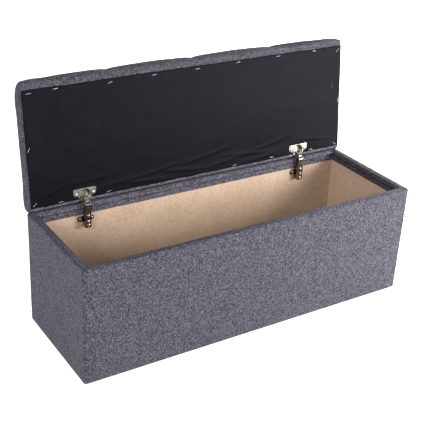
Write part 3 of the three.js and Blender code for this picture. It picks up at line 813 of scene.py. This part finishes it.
def lid_surface():
    """The cover before it is swelled: (x, s, d) points, their cloth places, faces and pin weights."""
    rings = lid_rings()
    points, cloth, pins = [], [], []
    path = 0.0
    first = None
    for index, (inset, d) in enumerate(rings):
        if index:
            path += math.dist(rings[index], rings[index - 1])
        rear = max(inset, arc_inset(LID_REAR_RADIUS, d - LID_FABRIC_D))
        radius = max(LID_PLAN_RADIUS - min(inset, 8 * MM), 2 * MM)
        edge = ring(inset, rear, radius, min(radius, LID_REAR_PLAN_RADIUS))
        if first is None:
            first = edge
        side_share = smooth_step((d - 6 * MM) / (18 * MM))
        for (x, s, out_x, out_s), (bx, bs, _, _) in zip(edge, first):
            grip = channel_grip(bx, CHANNEL_WIDTH)
            on_long_side = abs(out_s) > 0.7
            pull = CHANNEL_PULL * grip * side_share if on_long_side else 0.0
            drop = CHANNEL_DEPTH * grip * side_share if on_long_side else 0.0
            fall = crown(bx, bs) * side_share * CROWN_FALL * side_share
            deep = max(d - drop - fall, 0.0) if side_share > 0 else d
            at_rear = bs < DEPTH / 2
            along = HALF_LENGTH - abs(bx) + (REAR_SPARE if at_rear else 0.0)
            if not on_long_side:
                along = min(bs + REAR_SPARE, DEPTH - bs)
            bulge = side_bulge(max(along, 0.0)) * side_share
            hang = droop(bx, bs) * smooth_step((d - 2 * MM) / (5 * MM))
            points.append((x + out_x * (bulge - pull), s + out_s * (bulge - pull) - hang, deep))
            # Painted shade along the channels and on the lower part of the lid's rear side, by the gap to
            # the rim; painted light on the turned-under band at the rear.
            shade = 0.45 * grip * side_share
            if on_long_side and at_rear and d < 14 * MM:
                shade = GAP_SHADE if d > LID_FABRIC_D + 0.3 * MM else -REAR_BAND_PAINTED_LIGHT
            cloth.append((bx + out_x * path, bs + out_s * path, shade))
            pins.append(float(d < 9 * MM or (on_long_side and on_channel(bx))))
    inside_start = len(points)
    for x, s in top_grid(first):
        grip = channel_grip(x, CHANNEL_WIDTH)
        inner = smooth_step(min(s, DEPTH - s) / (35 * MM))
        deep = CHANNEL_DEPTH + (CHANNEL_MIDDLE_DEPTH - CHANNEL_DEPTH) * inner
        d = LID_THICKNESS + PILLOW_RISE * pillow(x, s) * inner - deep * grip - crown(x, s) * CROWN_FALL
        points.append((x, s - droop(x, s), d))
        # Painted shade along the channels on top.
        cloth.append((x, s, 0.5 * channel_grip(x, 5 * MM)))
        pins.append(float(on_channel(x)))
    faces = grid_faces(len(rings), LID_ROUND, wrap=True) + top_faces(0, inside_start)
    return points, cloth, faces, pins


SWELL_CAP = 4 * MM
SWELL_FRAMES = 20
PUCKER_SPACING = 23 * MM


def inflate(points, faces, pins):
    """The cover's points after a cloth simulation with pressure inside, moved by SWELL_CAP at most."""
    scene = bpy.context.scene
    start = [lid_point(*p) for p in points]
    work = build("lid_cloth_work", start, faces, FABRIC)
    group = work.vertex_groups.new(name="held")
    for index, weight in enumerate(pins):
        if weight > 0:
            group.add([index], weight, "REPLACE")
    cloth = work.modifiers.new("cloth", "CLOTH")
    settings = {
        "quality": 6, "mass": 0.25, "tension_stiffness": 12, "compression_stiffness": 12,
        "shear_stiffness": 5, "bending_stiffness": 0.4, "use_pressure": True,
        "uniform_pressure_force": 4, "vertex_group_mass": group.name,
    }
    for key, value in settings.items():
        setattr(cloth.settings, key, value)
    cloth.settings.effector_weights.gravity = 0
    cloth.point_cache.frame_start = 1
    cloth.point_cache.frame_end = SWELL_FRAMES
    for number in range(1, SWELL_FRAMES + 1):
        scene.frame_set(number)
    graph = bpy.context.evaluated_depsgraph_get()
    swollen = [v.co.copy() for v in work.evaluated_get(graph).data.vertices]
    bpy.data.objects.remove(work)
    scene.frame_set(1)
    result = []
    for (x, s, d), before, after in zip(points, start, swollen):
        move = after - before
        if move.length > SWELL_CAP:
            move *= SWELL_CAP / move.length
        result.append((x + move.x, s + move.dot(LID_S), d + move.dot(LID_D)))
    return result


def punch(piece, places, radius):
    """Cuts round holes through a flat part of a piece and draws the holes' edges onto circles."""
    mesh = bmesh.new()
    mesh.from_mesh(piece.data)
    for center in places:
        def off(vertex):
            return (vertex.co - center).length

        near = [f for f in mesh.faces if all(off(v) < radius for v in f.verts)]
        bmesh.ops.delete(mesh, geom=near, context="FACES")
        for vertex in mesh.verts:
            if off(vertex) < radius:
                vertex.co = center + (vertex.co - center).normalized() * radius
    mesh.to_mesh(piece.data)
    mesh.free()


def cup_centers(d):
    return [lid_point(side * HINGE_X, CUP_S, d) for side in (-1, 1)]


def add_lid_cushion():
    """The cover, swelled and puckered along its channels, with the foam under it."""
    points, cloth, faces, pins = lid_surface()
    points = inflate(points, faces, pins)
    soft = []
    for x, s, d in points:
        on_top = smooth_step((d - 8 * MM) / (14 * MM))
        wave = 2 * math.pi * (s + 4 * MM * math.sin(x * 90)) / PUCKER_SPACING + x * 40
        pucker = 0.55 * MM * channel_grip(x, 24 * MM) * math.sin(wave)
        sway = 0.7 * MM * ripple(x, s, 0.075, 21) + 0.3 * MM * ripple(x, s, 0.028, 22)
        soft.append((x, s, d + on_top * (sway + pucker)))
    cover = build("lid_cushion_cover", [lid_point(*p) for p in soft], faces, FABRIC, cloth)
    punch(cover, cup_centers(LID_FABRIC_D), CUP_HOLE)
    modifier(cover, "SUBSURF", levels=1, render_levels=1)
    thicken(cover, CLOTH)
    declare(cover, "lid", "fabric", "lid_cover")
    add_foam(soft)
    add_channel_stitches(soft)


STITCH = 5.2 * MM
STITCH_GAP = 2.2 * MM
STITCH_RADIUS = 0.42 * MM
FOAM_GAP = 2.4 * MM


def capsule(mesh, start, end, radius, up):
    """A short thread from start to end: thick in its middle, drawn down into the cloth at both ends."""
    along = (end - start).normalized()
    side = along.cross(up).normalized()
    lift = side.cross(along)
    half = ((0, 0.35, 1.3), (0.12, 0.8, 0.35), (0.35, 1, 0))
    rows = []
    for t, share, sink in (*half, *((1 - t, share, sink) for t, share, sink in reversed(half))):
        center = start.lerp(end, t) - lift * radius * sink
        rows.append([
            mesh.verts.new(center + (side * math.cos(a) + lift * math.sin(a)) * radius * share)
            for a in [k * math.pi / 4 for k in range(8)]
        ])
    add_tube(mesh, rows)


def add_channel_stitches(soft):
    """One row of stitches at the bottom of each sewn channel."""
    inside = soft[len(lid_rings()) * LID_ROUND:]
    width = LID_ACROSS - 1
    mesh = bmesh.new()
    for share in CHANNELS:
        i = round(LID_ACROSS * share) - 1
        line = []
        for j in range(1, LID_UP - 2):
            k = j * width + i
            x, s, d = inside[k]
            around = sum(inside[k + step][2] for step in (-1, 1, -width, width))
            line.append(lid_point(x, s, 0.63 * d + 0.0925 * around) + LID_D * 0.1 * MM)
        lengths = with_lengths(line)
        place = 0.0
        while place + STITCH < lengths[-1]:
            ends = []
            for want in (place, place + STITCH):
                k = max(index for index, value in enumerate(lengths) if value <= want)
                k = min(k, len(line) - 2)
                t = (want - lengths[k]) / (lengths[k + 1] - lengths[k])
                ends.append(line[k].lerp(line[k + 1], t))
            capsule(mesh, ends[0], ends[1], STITCH_RADIUS, LID_D)
            place += STITCH + STITCH_GAP
    declare(from_bmesh("lid_channel_stitches", mesh, STITCHING), "lid", "fabric")


def add_foam(soft):
    """The foam under the cover, drawn in from it all round, flat where it lies on the board."""
    rings = lid_rings()
    high = sum(d > LID_FOAM_D + 1.5 * MM for _, d in rings)
    middle = HALF_DEPTH
    shrink_x, shrink_s = 1 - FOAM_GAP / HALF_LENGTH, 1 - FOAM_GAP / HALF_DEPTH
    under = LID_FOAM_D + 0.2 * MM
    points = [
        (x * shrink_x, middle + (s - middle) * shrink_s, d - FOAM_GAP)
        for x, s, d in soft[:high * LID_ROUND]
    ]
    points += [(x, s, under) for x, s, _ in points[-LID_ROUND:]]
    inside = soft[len(rings) * LID_ROUND:]
    inside_start = len(points)
    points += [(x, s, d - FOAM_GAP) for x, s, d in inside]
    under_start = len(points)
    points += [(x, s, under) for x, s, _ in inside]
    faces = grid_faces(high + 1, LID_ROUND, wrap=True)
    faces += top_faces(0, inside_start)
    faces += [tuple(reversed(f)) for f in top_faces(high * LID_ROUND, under_start)]
    pad = build("lid_foam_pad", [lid_point(*p) for p in points], faces, FOAM)
    mesh = bmesh.new()
    mesh.from_mesh(pad.data)
    bmesh.ops.recalc_face_normals(mesh, faces=mesh.faces)
    mesh.to_mesh(pad.data)
    mesh.free()
    declare(pad, "lid", "foam", "lid_foam")


# A staple is its x and s in millimetres and its turn in degrees. A crease is its x, s and half
# length in metres, and its slope.
STAPLES = [
    (-476, 308, 3), (-405, 311, 6), (-256, 307, 14), (-127, 310, 4), (5, 309, -5), (135, 311, 7),
    (271, 312, 3), (399, 312, -4), (486, 305, 48), (493, 155, 82), (-488, 167, 58), (-484, 22, 42),
    (-414, 16, 5), (-277, 18, 12), (121, 17, 9), (250, 18, -5), (394, 17, 6), (484, 21, -40),
]
CREASE_HEIGHT = 2.7 * MM
CREASE_WIDTH = 3.6 * MM
SHEET_SLACK = 45 * MM
SHEET_GAUGE = 0.35 * MM
CREASES = [
    (-0.215, 0.040, 0.075, 0.10), (-0.165, 0.027, 0.055, -0.06), (-0.110, 0.052, 0.060, 0.14),
    (0.085, 0.034, 0.050, 0.12), (0.170, 0.044, 0.070, -0.09), (0.205, 0.026, 0.045, 0.08),
    (-0.330, 0.060, 0.060, 0.05), (0.410, 0.048, 0.055, -0.12), (-0.440, 0.045, 0.040, 0.3),
    (-0.050, 0.036, 0.065, -0.11), (0.020, 0.062, 0.080, 0.16), (0.245, 0.060, 0.060, 0.18),
]


def dust_sheet_depth(x, s, x0, x1, s0, s1):
    """The lid sheet's depth: flat at its stapled edges, slack in the middle, with low creases."""
    edge = min(x - x0, x1 - x, s - s0, s1 - s)
    slack = smooth_step(edge / SHEET_SLACK)
    depth = 0.15 * MM + 1.3 * MM * slack + 0.8 * MM * slack * ripple(x, s, 0.09, 31)
    depth += 0.45 * MM * slack * ripple(x * 0.35, s, 0.035, 32)
    for cx, cs, half, slope in CREASES:
        along = x - cx
        depth -= CREASE_HEIGHT * hump(along, half) * hump(s - cs - slope * along, CREASE_WIDTH)
    pulled = sum(hump(math.dist((x, s), (sx * MM, ss * MM)), 9 * MM) for sx, ss, _ in STAPLES)
    near_cup = max(hump(math.dist((x, s), (side * HINGE_X, CUP_S)), 34 * MM, 4) for side in (-1, 1))
    depth += 0.35 * MM * min(pulled, 1)
    return depth * (1 - near_cup) + 0.2 * MM * near_cup


def add_lid_dust_sheet():
    """The stapled sheet on the lid's underside, with wavy edges and holes for the hinge cups."""
    low_x, high_x = -HALF_LENGTH + 5 * MM, HALF_LENGTH - 1.5 * MM
    low_s, high_s = 12.5 * MM, DEPTH - 18 * MM
    columns, rows = 250, 78
    points, cloth = [], []
    for i in range(rows):
        t = i / (rows - 1)
        for j in range(columns):
            u = j / (columns - 1)
            x = low_x + (high_x - low_x) * u
            s = low_s + (high_s - low_s) * t
            border_s = abs(smooth_step((1 - t) / 0.2) - smooth_step(t / 0.2))
            border_x = abs(smooth_step((1 - u) / 0.05) - smooth_step(u / 0.05))
            wave_s = 1.5 * ripple(x, round(t), 0.06, 41) + 0.5 * ripple(x, t, 0.021, 42)
            x2 = x + border_x * MM * ripple(s, u, 0.06, 43)
            s2 = s + border_s * MM * wave_s
            depth = dust_sheet_depth(x, s, low_x, high_x, low_s, high_s)
            points.append(lid_point(x2, s2, depth))
            cloth.append((x2, s2))
    sheet = build("lid_dust_sheet", points, grid_faces(rows, columns), DUST_SHEET, cloth)
    punch(sheet, cup_centers(SHEET_GAUGE), CUP_HOLE)
    thicken(sheet, SHEET_GAUGE, 1.0)
    declare(sheet, "lid", "dust_sheet", "lid_dust_cover")
    staples = add_staples()


STAPLE_WIDTH = 12.4 * MM
STAPLE_LEG = 3.5 * MM
STAPLE_PROUD = 0.6 * MM
STAPLE_BEND = 0.7 * MM
WIRE_WIDE = 0.75 * MM
WIRE_THIN = 0.55 * MM
WIRE_CORNERS = (
    (-1, -0.6), (-0.6, -1), (0.6, -1), (1, -0.6), (1, 0.6), (0.6, 1), (-0.6, 1), (-1, 0.6),
)


def staple_mesh(mesh, matrix):
    """A flat-wire staple: a crown just proud of the cloth, bent down into two short legs."""
    low = STAPLE_PROUD - STAPLE_BEND
    half = [(-STAPLE_WIDTH / 2, -STAPLE_LEG), (-STAPLE_WIDTH / 2, low)]
    half += [
        (STAPLE_BEND * (1 - math.cos(a)) - STAPLE_WIDTH / 2, low + STAPLE_BEND * math.sin(a))
        for a in (0.8, math.pi / 2)
    ]
    line = half + [(-x, z) for x, z in reversed(half)]
    rows = []
    for i, (x, z) in enumerate(line):
        a, b = line[max(i - 1, 0)], line[min(i + 1, len(line) - 1)]
        along = Vector((b[0] - a[0], b[1] - a[1])).normalized()
        nx, nz = -along.y, along.x
        rows.append([
            mesh.verts.new(matrix @ Vector((
                x + nx * up * WIRE_THIN / 2, side * WIRE_WIDE / 2, z + nz * up * WIRE_THIN / 2,
            )))
            for side, up in WIRE_CORNERS
        ])
    add_tube(mesh, rows)


def add_staples():
    mesh = bmesh.new()
    for x, s, degrees in STAPLES:
        staple_mesh(mesh, lid_matrix(x * MM, s * MM, 0.0, math.radians(degrees)))
    return declare(from_bmesh("lid_staples", mesh, STAPLE_WIRE), "lid", "nickel")


# ---- Hinge screws ----
CUP_SCREW_S = 26.5 * MM
FLANGE_THICK = 1.25 * MM


def recess_depth(x, y, reach, width=0.55 * MM, depth=1.1 * MM):
    """How deep the cross recess is at a place on a screw's head."""
    lines = ((abs(x), abs(y)), (abs(y), abs(x)))
    inside = max(
        smooth_step((width - side) / (0.3 * MM) + 0.5) * smooth_step((reach - along) / (0.5 * MM) + 0.5)
        for side, along in lines
    )
    return depth * inside


def pan_screw(mesh, matrix, radius, height, shank=1.9 * MM, length=6 * MM, turn=0.0):
    """A pan head with a cross recess, its seat at the matrix's origin and its shank behind it."""
    segments, rings = 40, 11
    around = [2 * math.pi * i / segments for i in range(segments)]
    matrix = matrix @ Matrix.Rotation(turn, 4, "Z")
    rows = []
    for k in range(rings + 1):
        r = radius * k / rings
        row = []
        for angle in around if k else [0.0]:
            x, y = r * math.cos(angle), r * math.sin(angle)
            dome = height * (1 - 0.5 * (k / rings) ** 4) - recess_depth(x, y, radius * 0.55)
            row.append(mesh.verts.new(matrix @ Vector((x, y, dome))))
        rows.append(row)
    for r, z in ((radius, height * 0.15), (radius * 0.93, 0.0), (shank, 0.0), (shank, -length)):
        rows.append([
            mesh.verts.new(matrix @ Vector((r * math.cos(angle), r * math.sin(angle), z)))
            for angle in around
        ])
    for i in range(segments):
        mesh.faces.new((rows[0][0], rows[1][i], rows[1][(i + 1) % segments]))
    join_rings(mesh, rows[1:])
    mesh.faces.new(rows[-1])


def add_hinge_screws():
    """Replaces the plain screws: two in each cup's flange, five in each arm and plate."""
    draw = random.Random(11)
    towards_front = Matrix(((1, 0, 0), (0, 0, -1), (0, 1, 0))).to_4x4()
    for side in ("left", "right"):
        mesh = bmesh.new()
        names = []
        for letter in "ab":
            name = f"{side}_cup_screw_{letter}"
            low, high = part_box(name)
            spot = lid_matrix((low[0] + high[0]) / 2, CUP_SCREW_S, -FLANGE_THICK)
            pan_screw(mesh, spot, 4.2 * MM, 2.1 * MM, turn=draw.uniform(0, 1.5))
            names.append(name)
        declare(from_bmesh(f"{side}_cup_screws", mesh, NICKEL), "lid", "nickel", *names)
        mesh = bmesh.new()
        names = []
        for name, height in (("plate_screw_a", 2.0), ("plate_screw_b", 2.0), ("adjusting_screw", 1.8),
                             ("fixing_screw", 1.8), ("depth_screw", 1.8)):
            node = f"{side}_{name}"
            low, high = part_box(node)
            seat = ((low[0] + high[0]) / 2, low[1] + height * MM, (low[2] + high[2]) / 2)
            spot = Matrix.Translation(seat) @ towards_front
            pan_screw(mesh, spot, (high[0] - low[0]) / 2 + 0.4 * MM, height * MM, turn=draw.uniform(0, 1.5))
            names.append(node)
        declare(from_bmesh(f"{side}_arm_and_plate_screws", mesh, NICKEL), "box", "nickel", *names)


# ---- Underside of the box ----
def add_bottom_sheet():
    """The dust sheet under the box, sagging between its staples and the glides."""
    low, high = (Vector(p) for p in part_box("bottom_dust_cover"))
    glides = glide_places()
    columns, rows = 190, 64
    points, cloth = [], []
    for i in range(rows):
        for j in range(columns):
            x = low.x + (high.x - low.x) * j / (columns - 1)
            y = low.y + (high.y - low.y) * i / (rows - 1)
            edge = min(x - low.x, high.x - x, y - low.y, high.y - y)
            slack = smooth_step(edge / (60 * MM))
            glide = max(hump(math.dist((x, y), g), 30 * MM, 4) for g in glides)
            sag = (1.2 + 0.9 * ripple(x, y, 0.12, 51) + 0.5 * ripple(x * 0.4, y, 0.04, 52)) * MM
            points.append((x, y, high.z - 0.1 * MM - slack * (1 - glide) * sag))
            cloth.append((x, y))
    faces = [tuple(reversed(f)) for f in grid_faces(rows, columns)]
    sheet = build("bottom_dust_sheet", points, faces, DUST_SHEET, cloth)
    thicken(sheet, SHEET_GAUGE)
    declare(sheet, "box", "dust_sheet", "bottom_dust_cover")
    mesh = bmesh.new()
    draw = random.Random(5)
    inset = 12 * MM
    z = high.z - 0.45 * MM
    down = Matrix(((1, 0, 0), (0, -1, 0), (0, 0, -1))).to_4x4()
    for count, fixed, across in ((11, low.y + inset, True), (11, high.y - inset, True),
                                 (4, low.x + inset, False), (4, high.x - inset, False)):
        for k in range(count):
            start, end = (low.x, high.x) if across else (low.y, high.y)
            run = start + (end - start) * (k + 0.5) / count + draw.uniform(-12, 12) * MM
            spot = (run, fixed, z) if across else (fixed, run, z)
            angle = draw.uniform(-0.25, 0.25) + (0 if across else math.pi / 2)
            staple_mesh(mesh, Matrix.Translation(spot) @ Matrix.Rotation(angle, 4, "Z") @ down)
    staples = declare(from_bmesh("bottom_staples", mesh, STAPLE_WIRE), "box", "nickel")


def glide_places():
    boxes = [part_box(f"{end}_{side}_glide") for end in ("front", "back") for side in ("left", "right")]
    return [((low[0] + high[0]) / 2, (low[1] + high[1]) / 2) for low, high in boxes]


# ---- CAD pieces that stay, with their finish ----
def finish_nodes():
    for name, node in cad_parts.items():
        if node.hide_render:
            continue
        if "panel" in name or name == "lid_board":
            finish = CHIPBOARD
        elif "glide" in name:
            finish = PLASTIC
        elif "hinge_arm" in name or "mounting_plate" in name:
            finish = DARK_SHADED_NICKEL
        else:
            finish = NICKEL
        if not node.material_slots:
            node.data.materials.append(finish)
        for slot in node.material_slots:
            slot.material = finish


# ---- Floor and light ----
def add_stage():
    mesh = bmesh.new()
    bmesh.ops.create_circle(mesh, cap_ends=True, segments=96, radius=14)
    floor = from_bmesh("floor", mesh, FLOOR, smooth=False)


def add_area_light(name, place, aim, size, power):
    data = bpy.data.lights.new(name, "AREA")
    data.shape = "RECTANGLE"
    data.size, data.size_y = size
    data.energy = power
    light = bpy.data.objects.new(name, data)
    bpy.context.scene.collection.objects.link(light)
    light.location = place
    light.rotation_euler = (Vector(aim) - Vector(place)).to_track_quat("-Z", "Y").to_euler()


SKY = ((1, 1, 1), (0.58, 0.58, 0.59), (0.40, 0.40, 0.41))


def add_lights():
    """Three soft lights and a sky that is white low down and grey overhead."""
    add_area_light("front_light", (1.35, -1.35, 0.72), (0.3, 0.05, 0.3), (0.9, 0.7), 66)
    add_area_light("back_light", (2.5, 1.7, 1.2), (0, 0.15, 0.35), (0.9, 0.9), 120)
    add_area_light("left_light", (-2.0, -1.1, 1.3), (0.1, 0.05, 0.25), (1.1, 0.8), 35)
    world = bpy.data.worlds.new("studio")
    world.use_nodes = True
    tree = world.node_tree
    background = tree.nodes["Background"]
    direction = tree.nodes.new("ShaderNodeTexCoord")
    parts = tree.nodes.new("ShaderNodeSeparateXYZ")
    shade = tree.nodes.new("ShaderNodeValToRGB")
    tree.links.new(direction.outputs["Generated"], parts.inputs[0])
    tree.links.new(parts.outputs["Z"], shade.inputs[0])
    tree.links.new(shade.outputs[0], background.inputs["Color"])
    stops = shade.color_ramp.elements
    stops.new(0.32)
    for stop, place, color in zip(stops, (0.10, 0.32, 0.95), SKY):
        stop.position = place
        stop.color = (*color, 1)
    background.inputs["Strength"].default_value = 1.0
    bpy.context.scene.world = world
    bpy.context.scene.view_settings.view_transform = "Standard"


add_box_fabric()
add_lid_cushion()
add_lid_dust_sheet()
add_bottom_sheet()
add_hinge_screws()
finish_nodes()
add_stage()
add_lights()
